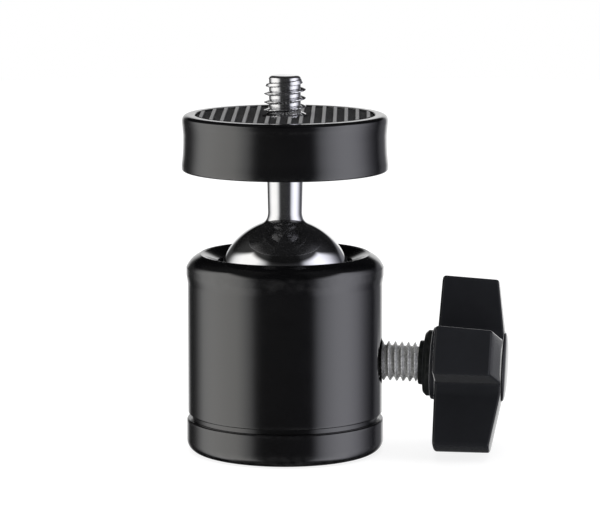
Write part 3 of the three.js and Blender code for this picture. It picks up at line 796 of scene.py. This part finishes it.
def clamp_stud():
    low, high, _ = span("clamp_stud", clamp=True)
    root, major, pitch, nose, shank = 2.4, 3.0, 1.0, 1.2, 2.8
    start, end, head = low + 1.05, 5.7, high - 3.45
    flats, corner = hexagon(8, around(COARSE)), 4.62

    def ends(z):
        return min(major, root + max(0.0, z - start), root + max(0.0, (end - z) * 2))

    rows = [
        ring(0, low, 0, COARSE), ring(nose - 0.2, low, 1, COARSE), ring(nose, low + 0.2, 1, COARSE),
        ring(nose, start, 0, COARSE),
    ]
    rows += thread_rows(root, major, pitch, start + 0.01, end, COARSE, ends)
    rows += [ring(shank, end + 0.02, 0.5, COARSE), ring(shank, head, 0, COARSE)]
    rows.append(ring(flats, head + 0.01, 0, COARSE))
    for z, cut in ((high - 0.5, 0), (high - 0.25, 0.22), (high, 0.6)):
        rows.append(ring(np.minimum(flats, corner - cut), z, cut, COARSE))
    rows.append(ring(0, high, 0, COARSE))
    obj = make("threaded_stud", skin(rows, False), clamp=True)
    return place(obj, "clamp_knob", "clamp_stud", ZINC)


def stud_collar():
    low, high, outer = span("stud_collar", clamp=True)
    corners = [(SHANK_HOLE, low, 0.08), (outer, low, 0.22), (outer, high, 0.12), (SHANK_HOLE, high, 0.05)]
    obj = make("dark_collar", turned(corners, MEDIUM), clamp=True)
    return place(obj, "clamp_knob", "stud_collar", STEEL)


def knob_washer():
    low, high, outer = span("knob_washer", clamp=True)
    chamfer = 0.5
    corners = [
        (SHANK_HOLE, low, 0.08), (outer - chamfer, low, 0.15), (outer, low + chamfer, 0.15),
        (outer, high, 0.12), (SHANK_HOLE, high, 0.05),
    ]
    obj = make("dark_washer", turned(corners, MEDIUM), clamp=True)
    return place(obj, "clamp_knob", "knob_washer", STEEL)


LOBES = 4
LOBE_TURN = math.radians(70.5)


def lobed(inset):
    """The knob's outline, drawn in by an inset: straight lobes with rounded corners and hollows between."""
    tip, half, hollow, corner = 13.4 - inset, 3.65 - inset, 1.8 + inset, 0.7
    across = half - corner
    out = math.sqrt((tip - corner) ** 2 - across**2)
    lean = math.atan2(across, out)
    spread = math.pi / LOBES
    reach = (half + hollow) / math.sin(spread)
    centre = (reach * math.cos(spread), reach * math.sin(spread))
    lobe = [
        *arc((centre[0], -centre[1]), hollow, math.pi - spread, math.pi / 2, 8)[1:],
        *arc((out, -across), corner, -math.pi / 2, -lean, 7),
        *arc((0, 0), tip, -lean, lean, 10)[1:-1],
        *arc((out, across), corner, lean, math.pi / 2, 7),
        *arc(centre, hollow, -math.pi / 2, spread - math.pi, 8),
    ]
    points = []
    for i in range(LOBES):
        turn = 2 * math.pi * i / LOBES + LOBE_TURN
        c, s = math.cos(turn), math.sin(turn)
        points += [(x * c - y * s, x * s + y * c) for x, y in lobe]
    return np.array(points)


def knob():
    """Rows run from the stud's hole over the hub, along the inner face, round the lobes' edge,
    back along the sloping outer face and down into the pocket for the cap and the stud's head."""
    low, high, _ = span("knob", clamp=True)
    hub, hub_rise, hub_fillet, inner_edge, outer_edge = 5.5, 0.65, 0.3, 0.5, 0.35
    recess, recess_depth, head_flats, head_depth, peak = 5.3, 1.5, 8.2, 3.55, 5.2
    inner_slope, outer_slope, draft = (math.tan(math.radians(d)) for d in (1.5, 9.7, 1.4))
    face = low + hub_rise
    outline = lobed(0)
    angles = np.arctan2(outline[:, 1], outline[:, 0])
    direction = np.stack([np.cos(angles), np.sin(angles)], 1)
    quarter = np.linspace(0, math.pi / 2, 8)
    rows = []

    def add(points, height, edge=0):
        count = len(points)
        rows.append(np.column_stack([points, np.broadcast_to(height, count), np.broadcast_to(edge, count)]))

    def circle(radius):
        return direction * radius

    def inner(points, rise=0.0):
        """Heights on the inner face, or as much further out as the rise says."""
        return face + rise + np.hypot(*points.T) * inner_slope

    def outer(points, drop=0.0):
        """Heights on the outer face, or as much further in as the drop says."""
        return high - drop - (np.hypot(*points.T) - peak) * outer_slope

    add(circle(SHANK_HOLE), low + 0.1)
    add(circle(SHANK_HOLE + 0.1), low, 1)
    add(circle(hub - 0.5), low, 0.2)
    for a in np.linspace(0, math.pi / 2, 5):
        points = circle(hub - hub_fillet + hub_fillet * math.sin(a))
        add(points, low + hub_fillet - hub_fillet * math.cos(a), 1)
    add(circle(hub), inner(circle(hub), -0.1))
    foot, near = circle(hub + 0.1), lobed(inner_edge)
    for share in (0, 0.25, 0.5, 0.8):
        points = foot * (1 - share) + near * share
        add(points, inner(points))
    for a in quarter:
        points = lobed(inner_edge * (1 - math.sin(a)))
        add(points, inner(points, inner_edge * (1 - math.cos(a))), math.sin(2 * a) ** 2)

    drawn_in = draft * (high - face - inner_edge)
    for share in (0.3, 0.65):
        points = lobed(drawn_in * share)
        add(points, inner(points, inner_edge) * (1 - share) + outer(points, outer_edge) * share)
    for a in quarter:
        points = lobed(drawn_in + outer_edge * (1 - math.cos(a)))
        add(points, outer(points, outer_edge * (1 - math.sin(a))), math.sin(2 * a) ** 2)
    last = lobed(drawn_in + outer_edge)
    for share in (0.3, 0.6, 0.85):
        points = last * (1 - share) + circle(recess + 0.25) * share
        add(points, outer(points))
    for wider, drop, edge in ((0.2, 0, 0.3), (0.05, 0.05, 1), (0, 0.2, 0.3)):
        points = circle(recess + wider)
        add(points, outer(points, drop), edge)

    shelf = high - recess_depth
    head = direction * hexagon(head_flats, angles)[:, None]
    add(circle(recess), shelf)
    add(head, shelf)
    add(head, shelf - head_depth)
    add(circle(SHANK_HOLE), shelf - head_depth)
    obj = make("lobed_knob", skin(rows, True), clamp=True)
    return place(obj, "clamp_knob", "knob", PLASTIC)


def knob_cap():
    low, high, outer = span("knob_cap", clamp=True)
    rim, top = high - 0.5, high - 0.01
    dome = bent((outer, rim), (outer - 0.5, top), (0, top), 16)
    obj = make("domed_cap", turned([(0, low), (outer, low, 0.15), *dome], MEDIUM), clamp=True)
    return place(obj, "clamp_knob", "knob_cap", GLOSSY)


for build in (
    housing, base_cap, tripod_insert, seat_ring, pressure_cup, cup_liner, ball, neck, platform, lock_washer,
    camera_screw, pad_adhesive, rubber_pad, thrust_tip, clamp_stud, stud_collar, knob_washer, knob, knob_cap,
):
    build()

# The camera's place, in metres, and its lens and aim, in pixels of the photo's width
EYE_AZIMUTH = math.radians(7.2)
EYE_ELEVATION = math.radians(9.0)
EYE_DISTANCE = 0.503
FOCAL_PIXELS = 3305
AIM_PIXELS = (-14.9, 24.5)
PHOTO_WIDTH = 600
SENSOR_WIDTH = 36  # millimetres


def eye():
    """Makes the camera, and gives the direction from the object to it on the ground."""
    ground = Vector((math.sin(EYE_AZIMUTH), -math.cos(EYE_AZIMUTH), 0))
    back = ground * math.cos(EYE_ELEVATION) + Vector((0, 0, math.sin(EYE_ELEVATION)))
    middle = Vector((0, 0, BALL_CENTRE * MM))
    right = (-back).cross(Vector((0, 0, 1))).normalized()
    up = right.cross(-back)
    forward = -back - right * (AIM_PIXELS[0] / FOCAL_PIXELS) + up * (AIM_PIXELS[1] / FOCAL_PIXELS)
    data = bpy.data.cameras.new("eye")
    data.sensor_width = SENSOR_WIDTH
    data.lens = FOCAL_PIXELS * SENSOR_WIDTH / PHOTO_WIDTH
    data.clip_start, data.clip_end = 0.01, 20
    camera = add_object("eye", data)
    camera.location = middle + back * EYE_DISTANCE
    camera.rotation_mode = "QUATERNION"
    camera.rotation_quaternion = forward.to_track_quat("-Z", "Y")
    bpy.context.scene.camera = camera
    return ground


# The light that surrounds the object, as degrees round it from the camera's side, and red, green and blue:
# pale behind, a warm band on the left, dark in front, and a cool band on the right
SIDE_LIGHT = [
    (-180, 1.0, 1.0, 1.0), (-166, 0.9, 0.9, 0.9), (-158, 0.4, 0.4, 0.4), (-153, 0.04, 0.04, 0.04),
    (-138, 0.04, 0.04, 0.04), (-126, 0.2, 0.2, 0.2), (-112, 1.15, 1.15, 1.14), (-92, 1.6, 1.58, 1.54),
    (-60, 1.5, 1.48, 1.43), (-50, 1.1, 1.1, 1.08), (-41, 0.6, 0.6, 0.6), (-34, 0.08, 0.08, 0.08),
    (-24, 0.03, 0.03, 0.03), (0, 0.03, 0.03, 0.03), (27, 0.03, 0.03, 0.035), (33, 0.07, 0.07, 0.08),
    (40, 0.7, 0.71, 0.77), (50, 1.25, 1.26, 1.37), (64, 1.65, 1.65, 1.79), (80, 1.6, 1.6, 1.74),
    (95, 1.05, 1.05, 1.16), (108, 0.4, 0.4, 0.45), (122, 0.05, 0.05, 0.06), (129, 0.05, 0.05, 0.06),
    (135, 0.2, 0.2, 0.22), (142, 0.24, 0.24, 0.26), (154, 0.24, 0.24, 0.26), (158, 1.1, 1.1, 1.1),
    (164, 1.15, 1.15, 1.15), (180, 1.0, 1.0, 1.0),
]

# A ramp's colours end at 1, so they are divided by this, and the light is multiplied by it again
BRIGHTEST = 2.0


def studio(towards_eye):
    """The light from all round, by angle and height. The camera itself sees white."""
    world = bpy.data.worlds.new("studio")
    bpy.context.scene.world = world
    n = Nodes(world)
    where = n.add("ShaderNodeTexCoord").outputs["Generated"]

    def along(direction):
        node = n.add("ShaderNodeVectorMath", operation="DOT_PRODUCT")
        n.feed(node.inputs[0], where)
        n.feed(node.inputs[1], direction)
        return node.outputs["Value"]

    def in_degrees(value):
        return n.math("MULTIPLY", value, 180 / math.pi)

    right = Vector((-towards_eye.y, towards_eye.x, 0))
    angle = n.math("ARCTAN2", along(right), along(towards_eye))
    sideways = in_degrees(n.math("ABSOLUTE", angle))
    elevation = in_degrees(n.math("ARCSINE", n.split(where)[2]))

    # The bands lean outwards as they rise
    leaning = n.math("MULTIPLY", angle, n.remap(elevation, 0, 30, 1, 0.895))
    band = n.add("ShaderNodeValToRGB")
    band.color_ramp.interpolation = "B_SPLINE"
    stops = band.color_ramp.elements
    for i, (degrees, r, g, b) in enumerate(SIDE_LIGHT):
        position = degrees / 360 + 0.5
        stop = stops[i] if i < 2 else stops.new(position)
        stop.position = position
        stop.color = (r / BRIGHTEST, g / BRIGHTEST, b / BRIGHTEST, 1)
    n.feed(band.inputs[0], n.math("ADD", n.math("DIVIDE", leaning, 2 * math.pi), 0.5))

    # The bands end 45 degrees up and 52 degrees down, and come in to 14 up and 18 down behind
    above = n.math("SUBTRACT", elevation, n.remap(sideways, 92, 140, 45, 14))
    below = n.math("SUBTRACT", elevation, n.remap(sideways, 110, 140, -52, -18))
    fade_low = n.remap(below, -10, 10, 0.05, 1, "SMOOTHSTEP")
    fade_high = n.remap(above, -4, 4, 1, 0.03, "SMOOTHSTEP")
    strength = n.math("MULTIPLY", n.math("MULTIPLY", fade_low, fade_high), BRIGHTEST)
    scaled = n.add("ShaderNodeVectorMath", operation="SCALE")
    n.feed(scaled.inputs[0], band.outputs[0])
    n.feed(scaled.inputs["Scale"], strength)
    light = n.made("ShaderNodeBackground", scaled.outputs[0])
    plain = n.made("ShaderNodeBackground", (1, 1, 1, 1))
    camera_ray = n.add("ShaderNodeLightPath").outputs["Is Camera Ray"]
    chosen = n.made("ShaderNodeMixShader", camera_ray, light, plain)
    n.feed(n.add("ShaderNodeOutputWorld").inputs[0], chosen)


def overhead_lamp():
    """A wide soft lamp for what is matt. What shines doesn't show it."""
    data = bpy.data.lights.new("overhead", "AREA")
    data.shape, data.size, data.energy = "DISK", 1.0, 5.5
    lamp = add_object("overhead", data)
    lamp.location = (0, 0, 0.85)
    lamp.visible_glossy = False
    lamp.visible_camera = False


def floor():
    """A white floor that keeps the shadow. What shines doesn't see it, and it is clear from below."""
    sides, radius, sunk = 96, 0.6, 0.00003
    turns = [2 * math.pi * k / sides for k in range(sides)]
    spots = [(0, 0, -sunk)] + [(radius * math.cos(a), radius * math.sin(a), -sunk) for a in turns]
    mesh = bpy.data.meshes.new("floor")
    mesh.from_pydata(spots, [], [(0, k + 1, (k + 1) % sides + 1) for k in range(sides)])
    material = bpy.data.materials.new("floor")
    n = Nodes(material)
    diffuse = n.made("ShaderNodeBsdfDiffuse", (0.35, 0.35, 0.35, 1))
    glow = n.made("ShaderNodeEmission", (1, 1, 1, 1), 0.85)
    shown = n.made("ShaderNodeAddShader", diffuse, glow)
    glossy_ray = n.add("ShaderNodeLightPath").outputs["Is Glossy Ray"]
    from_below = n.add("ShaderNodeNewGeometry").outputs["Backfacing"]
    hidden = n.math("MAXIMUM", glossy_ray, from_below)
    chosen = n.made("ShaderNodeMixShader", hidden, shown, n.made("ShaderNodeBsdfTransparent"))
    n.feed(n.add("ShaderNodeOutputMaterial").inputs[0], chosen)
    mesh.materials.append(material)
    add_object("floor", mesh)


studio(eye())
overhead_lamp()
floor()
bpy.context.scene.view_settings.view_transform = "Standard"
